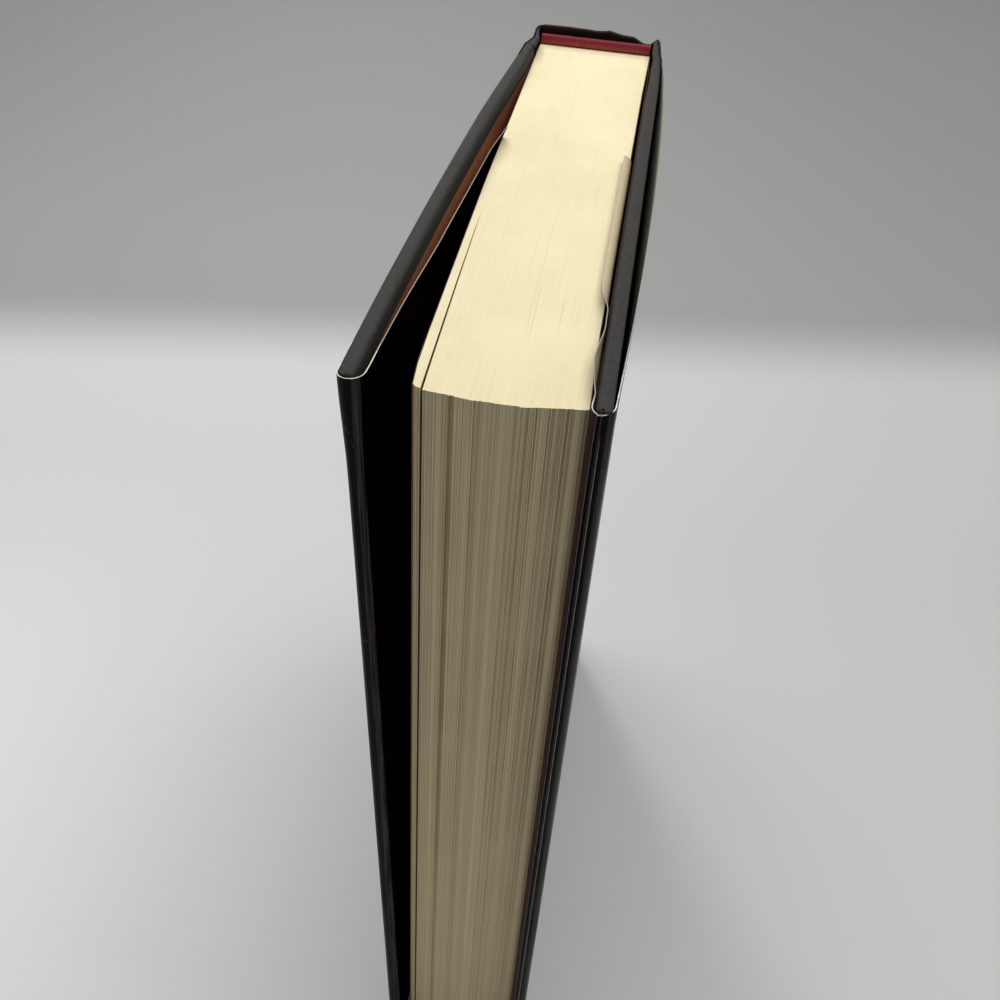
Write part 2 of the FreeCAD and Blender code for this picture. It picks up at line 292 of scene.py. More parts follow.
class Paint:
    """One procedural material."""

    def __init__(self, name, roughness, specular=0.5):
        self.material = bpy.data.materials.new(name)
        self.material.use_nodes = True
        self.tree = self.material.node_tree
        self.shader = self.tree.nodes["Principled BSDF"]
        self.shader.inputs["Roughness"].default_value = roughness
        self.shader.inputs["Specular IOR Level"].default_value = specular
        self.coordinates = self.node("ShaderNodeTexCoord").outputs

    def node(self, kind, inputs=(), **settings):
        made = self.tree.nodes.new(kind)
        for key, value in settings.items():
            setattr(made, key, value)
        for key, value in dict(inputs).items():
            self.feed(value, made.inputs[key])
        return made

    def feed(self, value, socket):
        if isinstance(value, bpy.types.NodeSocket):
            self.tree.links.new(value, socket)
        else:
            socket.default_value = value

    def place(self):
        """X, Y and Z in the frame, in metres."""
        return self.node("ShaderNodeSeparateXYZ", {"Vector": self.coordinates["Object"]}).outputs

    def mapped(self, scale=(1, 1, 1)):
        made = self.node("ShaderNodeMapping", {"Vector": self.coordinates["Object"], "Scale": scale})
        return made.outputs[0]

    def noise(self, scale, stretch=(1, 1, 1), detail=3.0, roughness=0.5):
        made = self.node("ShaderNodeTexNoise", {"Vector": self.mapped(stretch), "Scale": scale,
                                                "Detail": detail, "Roughness": roughness})
        return made.outputs["Fac"]

    def ramp(self, value, low, high):
        """0 below low and 1 above high."""
        made = self.node("ShaderNodeMapRange", {"Value": value, "From Min": low, "From Max": high},
                         interpolation_type="SMOOTHSTEP")
        return made.outputs["Result"]

    def maths(self, operation, a, b):
        return self.node("ShaderNodeMath", {0: a, 1: b}, operation=operation).outputs[0]

    def band(self, value, low, high, soft):
        """1 between low and high, with soft ends."""
        return self.maths("MULTIPLY", self.ramp(value, low - soft, low), self.ramp(value, high + soft, high))

    def sheet_place(self):
        """Length along a sheet and height, from its map."""
        place = self.node("ShaderNodeUVMap", uv_map="sheet").outputs[0]
        parts = self.node("ShaderNodeSeparateXYZ", {"Vector": place})
        return place, parts.outputs["X"], parts.outputs["Y"]

    def stroke(self, place, start, end, width):
        """1 on a straight stroke between two places of the map."""
        start = Vector(start).to_3d()
        run = Vector(end).to_3d() - start
        away = self.vector_maths("SUBTRACT", {0: place, 1: start})
        share = self.vector_maths("DOT_PRODUCT", {0: away, 1: run / run.length_squared}, "Value")
        clamped = self.node("ShaderNodeMath", {0: share, 1: 1.0}, operation="MULTIPLY", use_clamp=True)
        nearest = self.vector_maths("SCALE", {0: run, "Scale": clamped.outputs[0]})
        gap = self.vector_maths("SUBTRACT", {0: away, 1: nearest})
        return self.ramp(self.vector_maths("LENGTH", {0: gap}, "Value"), width / 2, width / 4)

    def vector_maths(self, operation, inputs, output="Vector"):
        return self.node("ShaderNodeVectorMath", inputs, operation=operation).outputs[output]

    def blend(self, share, a, b):
        made = self.node("ShaderNodeMix", {"Factor": share}, data_type="RGBA")
        self.feed(a, made.inputs[6])
        self.feed(b, made.inputs[7])
        return made.outputs[2]

    def colour(self, value):
        self.feed(value, self.shader.inputs["Base Color"])

    def rough(self, value):
        self.feed(value, self.shader.inputs["Roughness"])

    def specular(self, value):
        self.feed(value, self.shader.inputs["Specular IOR Level"])

    def bump(self, height, distance):
        made = self.node("ShaderNodeBump", {"Height": height, "Distance": distance, "Strength": 1.0})
        self.feed(made.outputs[0], self.shader.inputs["Normal"])


def rgb(r, g, b):
    return (r, g, b, 1.0)


def paper_grain(paint):
    paint.bump(paint.noise(2600, detail=5), 0.00002)


def make_pages():
    """Trimmed leaf edges: smooth cream at the head, and lines between the leaves on the fore-edge.
    Their map is (how light the leaf is, 1 on the fore-edge)."""
    paint = Paint("page_edges", 0.85, specular=0.2)
    leaf = paint.node("ShaderNodeUVMap", uv_map="leaf").outputs[0]
    parts = paint.node("ShaderNodeSeparateXYZ", {"Vector": leaf})
    tone, fore = parts.outputs["X"], parts.outputs["Y"]
    height = paint.place()["Z"]
    fine = paint.noise(1.0, (5200, 30, 26), detail=4, roughness=0.65)
    broad = paint.noise(1.0, (900, 9, 9), detail=3)
    mottle = paint.noise(60, detail=4)
    head = paint.blend(paint.ramp(fine, 0.25, 0.75), rgb(0.79, 0.695, 0.445), rgb(0.885, 0.80, 0.54))
    head = paint.blend(paint.ramp(broad, 0.45, 0.8), head, rgb(0.85, 0.755, 0.50))
    head = paint.blend(paint.ramp(mottle, 0.3, 0.8), head, rgb(0.905, 0.815, 0.56))
    dark_line = paint.ramp(paint.noise(1.0, (2600, 14, 14), detail=2), 0.68, 0.76)
    head = paint.blend(dark_line, head, rgb(0.74, 0.63, 0.41))
    tone = paint.blend(paint.ramp(height, 0.03, 0.19), paint.blend(0.55, tone, rgb(0.66, 0.66, 0.66)), tone)
    edge = paint.blend(tone, rgb(0.37, 0.285, 0.15), rgb(0.95, 0.82, 0.53))
    fibres = paint.maths("MULTIPLY", paint.ramp(fine, 0.45, 0.8), 0.7)
    edge = paint.blend(fibres, edge, rgb(0.72, 0.61, 0.38))
    clouds = paint.maths("MULTIPLY", paint.ramp(mottle, 0.4, 0.8), 0.3)
    edge = paint.blend(clouds, edge, rgb(0.80, 0.69, 0.44))
    speck = paint.ramp(paint.noise(900, detail=2), 0.795, 0.82)
    colour = paint.blend(fore, head, edge)
    paint.colour(paint.blend(speck, colour, rgb(0.30, 0.20, 0.10)))
    paint.bump(fine, 0.00008)
    return paint.material


def make_painted_shade_leaf_face():
    """The face of a leaf beside the narrow slit, coloured dark brown as painted shade."""
    paint = Paint("page_face_painted_shade", 0.8, specular=0.2)
    # painted shade: dark brown in place of the cream of the leaves
    paint.colour(paint.blend(paint.ramp(paint.noise(300, detail=5), 0.3, 0.7),
                             rgb(0.40, 0.31, 0.17), rgb(0.50, 0.40, 0.24)))
    paper_grain(paint)
    return paint.material


def make_endpaper():
    """Rust-brown paper, darker on its cut head."""
    paint = Paint("endpaper", 0.75, specular=0.25)
    fibre = paint.ramp(paint.noise(1400, (1, 1, 0.4), detail=5), 0.3, 0.7)
    tone = paint.blend(fibre, rgb(0.30, 0.105, 0.045), rgb(0.37, 0.135, 0.058))
    facing = paint.node("ShaderNodeSeparateXYZ", {"Vector": paint.coordinates["Normal"]}).outputs
    cut = paint.ramp(paint.maths("ABSOLUTE", facing["Z"], 0.0), 0.8, 0.95)
    paint.colour(paint.blend(cut, tone, rgb(0.085, 0.04, 0.025)))
    paper_grain(paint)
    return paint.material


def make_charcoal():
    paint = Paint("charcoal_paper", 0.75, specular=0.3)
    flecks = paint.ramp(paint.noise(900, detail=6, roughness=0.7), 0.35, 0.7)
    clouds = paint.ramp(paint.noise(120, detail=3), 0.3, 0.7)
    tone = paint.blend(flecks, rgb(0.020, 0.019, 0.0165), rgb(0.038, 0.036, 0.032))
    tone = paint.blend(paint.maths("MULTIPLY", clouds, 0.6), tone, rgb(0.031, 0.0305, 0.028))
    rubbed = paint.ramp(paint.noise(2100, detail=4), 0.68, 0.76)
    paint.colour(paint.blend(rubbed, tone, rgb(0.075, 0.072, 0.066)))
    paint.bump(paint.noise(1500, detail=5), 0.00005)
    return paint.material


# Places on the jacket's map, in metres from the end of the flap: the fold at the fore-edge, and
# the edge of the spine.
fold_spans = {FRONT: (0.1011, 0.1075), REAR: (0.0945, 0.0985)}
spine_length = 0.252


def make_jacket_black(name, side, fold_colour, fold_painted_highlight, strokes):
    """Black coated paper with a painted highlight along its fold; strokes are marks (start, end, width,
    colour) on the sheet.
    """
    paint = Paint(name, 0.42)
    fold_start, fold_end = fold_spans[side]
    place, length, height = paint.sheet_place()
    smudge = paint.ramp(paint.noise(45, detail=4), 0.3, 0.75)
    tone = paint.blend(smudge, rgb(0.0014, 0.0014, 0.0014), rgb(0.0028, 0.0029, 0.0027))
    fold = paint.band(length, fold_start, fold_end, 0.0004)
    tone = paint.blend(fold, tone, fold_colour)
    streaks = paint.ramp(paint.noise(1.0, (2400, 2400, 40), detail=3), 0.3, 0.75)
    # painted highlight: a lighter streaky band along the inner edge of the fold, in place of reflected light
    painted_highlight = paint.band(length, fold_start, fold_start + 0.0012, 0.0003)
    tone = paint.blend(paint.maths("MULTIPLY", painted_highlight, streaks), tone, fold_painted_highlight)
    worn = paint.ramp(paint.noise(2300, detail=3), 0.67, 0.73)
    near_head = paint.ramp(height, 0.216, 0.238)
    worn = paint.maths("MULTIPLY", paint.maths("MULTIPLY", worn, fold), near_head)
    tone = paint.blend(worn, tone, rgb(0.16, 0.15, 0.14))
    for start, end, width, colour in strokes:
        tone = paint.blend(paint.stroke(place, start, end, width), tone, colour)
    paint.colour(tone)
    paint.rough(paint.node("ShaderNodeMapRange", {"Value": smudge, "To Min": 0.34, "To Max": 0.5}).outputs[0])
    on_fold = paint.maths("MULTIPLY", paint.ramp(length, fold_start - 0.0005, fold_start + 0.0005), 0.035)
    outside = paint.maths("MULTIPLY", paint.ramp(length, fold_start + 0.005, fold_start + 0.012), 0.06)
    paint.specular(paint.maths("ADD", on_fold, outside))
    paint.bump(paint.noise(3200, detail=3), 0.000006)
    return paint.material


def make_jacket_white():
    """White inside of the jacket, with painted shade along its head: darker and yellow-brown there."""
    paint = Paint("jacket_inside", 0.7, specular=0.3)
    height = paint.sheet_place()[2]
    plain = paint.blend(paint.noise(500, detail=5), rgb(0.66, 0.66, 0.61), rgb(0.78, 0.78, 0.73))
    # painted shade along the head of the sheet
    painted_shade_head = paint.blend(paint.noise(500, detail=5), rgb(0.56, 0.46, 0.31), rgb(0.64, 0.54, 0.37))
    paint.colour(paint.blend(paint.ramp(height, 0.2365, 0.2385), plain, painted_shade_head))
    paper_grain(paint)
    return paint.material


def make_jacket_edge():
    """White core at the cut edge, white only about the fore-edge fold: grey along the flap and darker at its
    end, grey past the fold, darkening along the outer panel to near-black past the spine's edge.
    """
    paint = Paint("jacket_cut_edge", 0.8, specular=0.2)
    length = paint.sheet_place()[1]
    worn = paint.ramp(paint.noise(600, detail=4), 0.3, 0.6)
    tone = paint.blend(worn, rgb(0.55, 0.53, 0.48), rgb(0.88, 0.87, 0.82))
    tone = paint.blend(paint.ramp(length, 0.097, 0.089), tone, rgb(0.34, 0.31, 0.28))
    tone = paint.blend(paint.ramp(length, 0.05, 0.01), tone, rgb(0.27, 0.24, 0.20))
    tone = paint.blend(paint.ramp(length, 0.106, 0.125), tone, rgb(0.34, 0.34, 0.31))
    tone = paint.blend(paint.ramp(length, 0.14, 0.225), tone, rgb(0.11, 0.105, 0.095))
    past_spine_edge = paint.ramp(length, spine_length, spine_length + 0.008)
    paint.colour(paint.blend(past_spine_edge, tone, rgb(0.008, 0.008, 0.007)))
    paint.bump(paint.noise(2500, detail=3), 0.00003)
    return paint.material


def make_thread():
    """Crimson thread, faded where it stands past the leaves."""
    paint = Paint("crimson_thread", 0.6, specular=0.4)
    lay = paint.noise(2200, (1, 2, 2), detail=3)
    up = paint.maths("ABSOLUTE", paint.maths("SUBTRACT", paint.place()["Z"], case_height / 2 * MM), 0.0)
    tone = paint.blend(lay, rgb(0.26, 0.018, 0.034), rgb(0.40, 0.032, 0.052))
    faded = paint.blend(lay, rgb(0.36, 0.085, 0.06), rgb(0.50, 0.15, 0.11))
    past_leaves = paint.ramp(up, (page_height / 2 + 0.2) * MM, (page_height / 2 + 2.0) * MM)
    paint.colour(paint.blend(past_leaves, faded, tone))
    paint.bump(lay, 0.00004)
    return paint.material


def make_gauze():
    paint = Paint("gauze", 0.9, specular=0.1)
    wave = {"Vector": paint.mapped(), "Scale": 900.0, "Distortion": 0.4}
    warp, weft = (paint.node("ShaderNodeTexWave", wave, bands_direction=way) for way in ("X", "Z"))
    both = paint.maths("MAXIMUM", warp.outputs["Fac"], weft.outputs["Fac"])
    paint.colour(paint.blend(both, rgb(0.45, 0.43, 0.36), rgb(0.72, 0.70, 0.62)))
    paint.bump(both, 0.0001)
    return paint.material


def make_mottled(name, roughness, specular, fibre, low, high, grain_scale, grain_depth):
    """Paper or board between two tones; fibre is the scale, stretch and detail of its noise."""
    paint = Paint(name, roughness, specular)
    paint.colour(paint.blend(paint.noise(*fibre), low, high))
    paint.bump(paint.noise(grain_scale, detail=5), grain_depth)
    return paint.material


pages = make_pages()
painted_shade_leaf_face = make_painted_shade_leaf_face()
endpaper = make_endpaper()
charcoal = make_charcoal()

# The charcoal paper where it is turned in over the spine, also used on the joint covering's cut edges:
# painted shade, nearly black with a brownish painted reflection of the red headband.
turned_in_painted_shade = make_mottled("charcoal_turned_in_painted_shade", 0.9, 0.1, (700, (1, 1, 1), 5), rgb(0.022, 0.014, 0.012),
                         rgb(0.046, 0.028, 0.025), 1500, 0.00005)

# A small red mark and two fine hairs on the front fold.
red_mark = rgb(0.13, 0.02, 0.03)
front_strokes = [((0.1060, 0.1757), (0.1021, 0.1762), 0.0007, red_mark),
                 ((0.1021, 0.1762), (0.1010, 0.1795), 0.0006, red_mark),
                 ((0.1052, 0.2311), (0.1031, 0.2291), 0.0002, rgb(0.06, 0.06, 0.06)),
                 ((0.1031, 0.2291), (0.1025, 0.2262), 0.0002, rgb(0.05, 0.05, 0.05))]
# per half: the fold's colour, then the colour of its painted highlight
jacket_black = {
    FRONT: make_jacket_black("jacket_black_front", FRONT, rgb(0.008, 0.008, 0.008),
                             rgb(0.075, 0.078, 0.075), front_strokes),
    REAR: make_jacket_black("jacket_black_rear", REAR, rgb(0.055, 0.028, 0.031),
                            rgb(0.065, 0.040, 0.042), [])}
jacket_white = make_jacket_white()
jacket_edge = make_jacket_edge()
thread = make_thread()


def dress(node, material):
    piece = frame["nodes"][node]
    piece.data.materials.clear()
    piece.data.materials.append(material)


board_material = make_mottled("binders_board", 0.9, 0.1, (900, (1, 1, 1), 6), rgb(0.20, 0.18, 0.15),
                              rgb(0.33, 0.30, 0.26), 1200, 0.00006)
kraft = make_mottled("kraft_lining", 0.8, 0.2, (700, (1, 1, 0.3), 6), rgb(0.30, 0.19, 0.10),
                     rgb(0.42, 0.28, 0.16), 2600, 0.00002)
for name in ("front_board", "rear_board", "spine_strip"):
    dress(name, board_material)
dress("spine_mull", make_gauze())
dress("spine_lining", kraft)
dress("front_flyleaf", endpaper)
dress("rear_flyleaf", endpaper)


# Text block

# Line of the fore-edge: place across the block from the front corner, and y.
fore_edge_line = ((0.0, 0.3), (0.5, -0.3), (1.49, -0.9), (2.01, -1.06), (3.81, -1.22), (6.71, -1.56),
                  (8.87, -1.87), (11.4, -2.05), (11.6, -1.82), (13.4, -1.8), (15.0, -1.96), (18.3, -1.84),
                  (18.5, -2.02), (19.2, -1.95), (20.56, -1.66), (22.36, -1.28), (24.18, -0.95),
                  (26.7, -0.55), (28.78, -0.38), (29.7, -0.1))
leaf_thickness = 0.126
loose_leaves_thickness = 1.4

# The slit behind the loose leaves: its width at each depth, with the two stacks overlapping a
# little beyond its end, and how far it leans to the front by then.
loose_slit_widths = ((0.0, 0.46), (3.0, 0.22), (20.0, 0.14), (36.0, 0.08), (40.0, 0.0), (48.0, -0.03))
loose_slit_depth = 40.0
loose_slit_lean = 0.5

# Plan corners (u, y, radius) of the block's two side faces.
front_side = [(-0.35, page_depth, 0), (0.6, 75.0, 900.0), (0.6, 8.0, 30.0), (0.0, 0.0, 0)]
rear_side = [(-0.2, page_depth, 0), (-0.5, 130.0, 900.0), (-0.5, 20.0, 30.0), (0.0, 0.0, 0)]


def side_u(corners, y):
    """The side face's u at a depth."""
    points = round_path(corners, [6] * (len(corners) - 1))
    return along([(depth, u) for u, depth in reversed(points)], y)


depth_steps = [0.4, 1.2, 3, 6, 10, 16, 22, 27, 36, 48, 62, 78, 96, 114, 130, 144, 152, page_depth]

# The chance that a leaf begins a new group.
group_chance = 0.22

# Unevenness of the leaves, in millimetres: of groups and of single leaves at the fore-edge, of the
# fore-edge along its height, and of single leaves at the head.
group_spread = 0.045
leaf_spread = 0.022
fore_edge_drift = 0.05
head_spread = 0.012

# How light groups of leaves are on the fore-edge, how much groups and single leaves vary, and the
# most that a leaf without a bright edge has.
group_tone = 0.42
group_tone_spread = 0.17
leaf_tone_spread = 0.12
leaf_tone_limit = 0.8

# Where on the fore-edge the light leaf edges stand close together, from the front corner.
light_zones = ((5.9, 11.7), (14.2, 15.7), (18.1, 18.6), (20.2, 25.0), (25.6, 26.0))


def leaf_tone(x, rng, group, after_light):
    """How light a leaf's fore-edge is: single bright edges between darker ones."""
    place = x + half
    bright = 0.55 if any(a < place < b for a, b in light_zones) else 0.2
    if not after_light and rng.random() < bright:
        return rng.uniform(0.85, 1.0)
    return min(leaf_tone_limit, max(0.0, group + rng.gauss(0, leaf_tone_spread)))


def add_leaves(bm, left, right, count, seed):
    """A stack of leaves between two plan lines left(y) and right(y), with uneven fore-edges."""
    z_values = heights(text_tail, text_head, 44, (0.3, 1.2))
    leaf_map = bm.loops.layers.uv.verify()
    rng = random.Random(seed)
    offsets, tones = [], []
    group_offset, tone = 0.0, 0.5
    for i in range(count):
        if rng.random() < group_chance:
            group_offset = rng.gauss(0, group_spread)
            tone = rng.gauss(group_tone, group_tone_spread)
        offsets.append(group_offset + rng.gauss(0, leaf_spread))
        x = mix(left(0), right(0), (i + 0.5) / count)
        tones.append(leaf_tone(x, rng, tone, tones and tones[-1] > leaf_tone_limit))

    def add_strip(one, two, place_on_map=(0.0, 0.0)):
        """Faces between two lines of corners."""
        for k in range(len(one) - 1):
            face = bm.faces.new([one[k], two[k], two[k + 1], one[k + 1]])
            for loop in face.loops:
                loop[leaf_map].uv = place_on_map

    # the lines of corners of each leaf's two sides, at its fore-edge, head and tail
    fronts, tops, lows = [], [], []
    for i in range(count):
        x_values = [[mix(left(y), right(y), edge / count) for y in [0] + depth_steps] for edge in (i, i + 1)]
        base = along(fore_edge_line, (x_values[0][0] + x_values[1][0]) / 2 + half) + offsets[i]
        wander = rng.uniform(-1000, 1000)
        drifts = [fore_edge_drift * (noise.noise(Vector((wander, 0, z / 45)))
                                     + noise.noise(Vector((i / 9, seed, z / 60)))) for z in z_values]
        lift = rng.gauss(0, head_spread)
        for x_line in x_values:
            front = [bm.verts.new(row(x_line[0], base + drift, z)) for drift, z in zip(drifts, z_values)]
            fronts.append(front)
            for lines, end, z in ((tops, -1, text_head + lift), (lows, 0, text_tail)):
                inward = [bm.verts.new(row(x, y, z)) for x, y in zip(x_line[1:], depth_steps)]
                lines.append([front[end]] + inward)
    # faces of the leaves, and of the steps between them
    for i in range(2 * count - 1):
        add_strip(fronts[i], fronts[i + 1], (0.0 if i % 2 else tones[i // 2], 1.0))
        for lines in (tops, lows):
            add_strip(lines[i], lines[i + 1])
        bm.faces.new([tops[i][-1], lows[i][-1], lows[i + 1][-1], tops[i + 1][-1]])
    for i in (0, -1):
        face = bm.faces.new(tops[i] + list(reversed(lows[i])) + fronts[i][1:-1])
        face.material_index = 1
        bmesh.ops.triangulate(bm, faces=[face])


def make_text_block():
    front_line = {y: -(half + side_u(front_side, y)) for y in [0] + depth_steps}
    rear_line = {y: half + side_u(rear_side, y) for y in [0] + depth_steps}

    def slit(y):
        """Right face of the loose leaves and left face of the rest."""
        share = min(1.0, y / loose_slit_depth)
        near = -half + loose_leaves_thickness - loose_slit_lean * share
        return near, near + along(loose_slit_widths, y)

    bm = bmesh.new()
    bm.loops.layers.uv.new("leaf")
    loose = round(loose_leaves_thickness / leaf_thickness)
    rest = round((2 * half - loose_leaves_thickness) / leaf_thickness)
    add_leaves(bm, lambda y: front_line[y], lambda y: slit(y)[0], loose, 5)
    add_leaves(bm, lambda y: slit(y)[1], lambda y: rear_line[y], rest, 11)
    # the leaf faces at the sides of each stack carry painted shade
    piece = finish_mesh("leaves", bm, [pages, painted_shade_leaf_face], math.radians(20))
    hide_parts("text_block")
    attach(piece, "book_block")


make_text_block()


# Headbands. The bead of thread is taller than it is deep; rise and set place its middle past the
# leaves and behind the tape.

band_bead_radius = 0.95
band_bead_stretch = 1.5
band_bead_rise = 1.2
band_bead_set = 0.55
band_pitch = 0.42
band_rib_depth = 0.16
band_tape_height = 12.0
band_tape_thickness = 0.3
band_left = -half + 0.35
band_right = half - 0.2


def make_band(name, node, edge_z, up):
    """A tape with a bead of thread wound closely along its edge."""
    steps = 10
    sides = 20
    count = round((band_right - band_left) / band_pitch)
    bm = bmesh.new()
    rings = []
    for i in range(count * steps + 1):
        x = band_left + (band_right - band_left) * i / (count * steps)
        r = band_bead_radius * (1 - band_rib_depth * math.cos(math.pi * i / steps) ** 2)
        ring = []
        for k in range(sides):
            a = 2 * math.pi * k / sides
            slant = 0.35 * band_pitch * math.sin(a)
            y = page_depth + band_bead_set + r * math.cos(a)
            z = edge_z + up * band_bead_rise + band_bead_stretch * r * math.sin(a)
            ring.append(bm.verts.new(row(min(band_right, max(band_left, x + slant)), y, z)))
        rings.append(ring)
    add_tube_sides(bm, rings)
    bm.faces.new(rings[0])
    bm.faces.new(list(reversed(rings[-1])))
    low, high = sorted((edge_z - up * band_tape_height, edge_z))
    corners = [bm.verts.new(row(x, page_depth + y, z)) for x in (band_left, band_right)
               for y in (0.0, band_tape_thickness) for z in (low, high)]
    for a, b, c, d in ((0, 1, 3, 2), (4, 6, 7, 5), (0, 4, 5, 1), (2, 3, 7, 6), (0, 2, 6, 4), (1, 5, 7, 3)):
        bm.faces.new([corners[k] for k in (a, b, c, d)])
    piece = finish_mesh(name, bm, [thread], math.radians(60))
    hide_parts(node)
    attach(piece, "book_block")


make_band("head_band_thread", "head_band", text_head, 1)
make_band("tail_band_thread", "tail_band", text_tail, -1)


# Covered boards

# Radii of the rounded edges along head and tail, inside and outside, at each depth, and of the
# fore-edge.
inner_rounding = ((-4.0, 0.9), (60.0, 1.1), (147.0, 1.0))
outer_rounding = ((115.0, 0.35), (135.0, 0.5), (147.0, 0.8))
board_corner = 1.1

# How far the covers' outer faces are pressed in beside the joint at their heads, at each depth.
shoulder_press = {FRONT: ((130.0, 0.0), (137.7, 0.1), (144.3, 0.32), (148.0, 0.45), (151.0, 0.0)),
                  REAR: ((128.0, 0.0), (137.6, 0.12), (145.0, 0.45), (149.0, 0.4), (152.0, 0.0))}
inner_press = {FRONT: ((130.0, 0.0), (147.0, 0.2)), REAR: ((120.0, 0.1), (136.0, 0.45), (147.0, 0.45))}
press_height = 9.0


def pressed(side, u, y, z):
    """A cover point's u where its head is pressed thin beside the joint."""
    top = ramp(z, case_height - press_height, case_height)
    if u > cover_seat + case_thickness / 2 or y > board_hinge_y:
        return u - along(shoulder_press[side], y) * top
    return u + along(inner_press[side], y) * top


def make_covered_board(side):
    """Board in its covering paper: rounded along its edges and a little more at its fore-edge."""
    bow = bows[side]
    ys = [board_hinge_y - 4 * i for i in range(37)]
    inner = [(board_inner(bow, y), y) for y in ys]
    inner_end = board_inner(bow, -fore_square)
    corner_steps = 6
    corner = []
    for k in range(corner_steps + 1):
        a = math.pi / 2 * k / corner_steps
        corner.append((board_corner * (1 - math.cos(a)), -fore_square + board_corner * (1 - math.sin(a))))
    section = inner + [(inner_end + du, y) for du, y in corner]
    section += [(inner_end + case_thickness - du, y) for du, y in reversed(corner)]
    section += [(u + case_thickness, y) for u, y in reversed(inner)]
    levels = heights(0, case_height, 24, (0.04, 0.12, 0.24, 0.4, 0.6, 0.8, 1.0, 3.0, 5.0))
    bm = bmesh.new()
    rings = []
    for z in levels:
        near = min(z, case_height - z)
        ring = []
        for u, y in section:
            middle = board_inner(bow, min(max(y, -fore_square), board_hinge_y)) + case_thickness / 2
            radius = along(inner_rounding if u < middle else outer_rounding, y)
            pull = radius - math.sqrt(radius ** 2 - max(0.0, radius - near) ** 2)
            pulled_u = u - math.copysign(min(pull, abs(u - middle)), u - middle)
            pulled_y = min(max(y, -fore_square + pull), board_hinge_y - pull)
            ring.append(bm.verts.new(on_cover(side, pressed(side, pulled_u, pulled_y, z), pulled_y, z)))
        rings.append(ring)
    add_tube_sides(bm, rings)
    for ring in (rings[0], rings[-1]):
        bmesh.ops.triangulate(bm, faces=[bm.faces.new(ring)])
    piece = finish_mesh(word[side] + "_covered_board", bm, [charcoal], math.radians(50))
    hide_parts(word[side] + "_board_covering", word[side] + "_board")
    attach(piece, body_of_cover[side])


for side in (FRONT, REAR):
    make_covered_board(side)


# Endpapers: the half that is glued to the cover, and its fold in the joint

glue_gap = 0.05
fold_gap = 0.03
fold_run = 2.5


def make_pastedown(side):
    bow = bows[side]
    ys = [153.5, 152.0, 151.0] + [150.4 - 0.2 * i for i in range(16)]
    ys += [board_hinge_y - 4 * i for i in range(37)] + [-fore_square + head_square]
    leaf = front_side if side == FRONT else rear_side

    def glued_face(y):
        if y <= board_hinge_y:
            return board_inner(bow, y) - glue_gap
        against_leaf = side_u(leaf, y) + 2 * endpaper_thickness + fold_gap
        return mix(cover_seat - glue_gap, against_leaf, ramp(y, board_hinge_y, board_hinge_y + fold_run))
    glued = [(glued_face(y), y) for y in ys]
    shown = [(u - endpaper_thickness, y) for u, y in glued]
    levels = heights(text_tail, text_head, 24)
    grids = [[[on_sheet(side, u, y, z) for u, y in line] for z in levels] for line in (shown, glued)]
    piece = grid_sheet(word[side] + "_endpaper", *grids, path_lengths(glued), [endpaper] * 3)
    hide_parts(word[side] + "_pastedown")
    blended(piece)


for side in (FRONT, REAR):
    make_pastedown(side)


# Covering paper over the joints and the spine, and the jacket

gauze_thickness = 0.3
lining_thickness = 0.15
spine_hollow = 2.3
inlay_thickness = 0.6
spine_swell = 0.9
spine_bend_share = 0.9
spine_edge_u = 0.85
spine_edge_y = page_depth + gauze_thickness + lining_thickness + spine_hollow + inlay_thickness
spine_peak_y = spine_edge_y + spine_swell / (1 - spine_bend_share / 2)
groove_u = 0.3
groove_y = 151.8
jacket_gap = 0.15
jacket_thickness = 0.2
jacket_trim = 0.4
jacket_shoulder_radius = 3.0
covering_shoulder_radius = 0.6

# Bumped and uneven head of the spine: place across the spine, and depth below the boards' heads.
spine_head_drop = ((-16.0, -0.3), (-14.0, -0.7), (-7.4, -0.62), (-4.8, -0.48), (-2.1, -0.46),
                   (-1.3, -0.32), (0.6, -0.33), (2.0, -0.5), (3.4, -0.74), (4.9, -0.37), (6.6, -0.06),
                   (8.4, 0.02), (10.2, 0.14), (11.2, 0.76), (12.3, 1.32), (13.5, 1.48), (14.5, 1.39),
                   (15.2, 0.61), (16.0, -0.2))
bump_reach = 12.0


def head_z(side, u, y, z):
    """The height of a spine point whose sheet is pushed down along the bumped head."""
    on_back = ramp(y, spine_edge_y - 1.3, spine_edge_y - 0.4)
    near_head = ramp(z, case_height - bump_reach, case_height - 1.0)
    return z - along(spine_head_drop, side * (half + u)) * on_back * near_head


# How shallow each joint is at its head, for the covering and for the jacket over it, and how far
# the spine's edge flares there.
covering_lift = {FRONT: 0.65, REAR: 1.85}
jacket_lift = {FRONT: 0.7, REAR: 1.95}
spine_flare = {FRONT: 0.15, REAR: 0.6}


def joint_corners(side, z, out, lifts):
    """Corners of a sheet's inner face from the board's shoulder to the middle of the spine."""
    lift = lifts[side] * ramp(z, case_height - 40.0, case_height - 4.0)
    flare = spine_flare[side] * ramp(z, case_height - 14.0, case_height - 1.0)
    shoulder_radius = jacket_shoulder_radius if out else covering_shoulder_radius
    return [(cover_seat + case_thickness + out, board_hinge_y, shoulder_radius),
            (groove_u + lift + out * 0.9, groove_y + 0.1 * out, 1.5),
            (spine_edge_u + flare + out, spine_edge_y + out, 1.0 + out),
            (-half, spine_peak_y + out, 0)]


def spine_y(x, out):
    """The swelled back of the spine at x."""
    rise = spine_peak_y - spine_edge_y
    away = abs(x) / (half + spine_edge_u)
    if away > spine_bend_share:
        return spine_edge_y + out + rise * (1 - away)
    return spine_peak_y + out - rise * spine_bend_share / 2 - rise * away ** 2 / (2 * spine_bend_share)


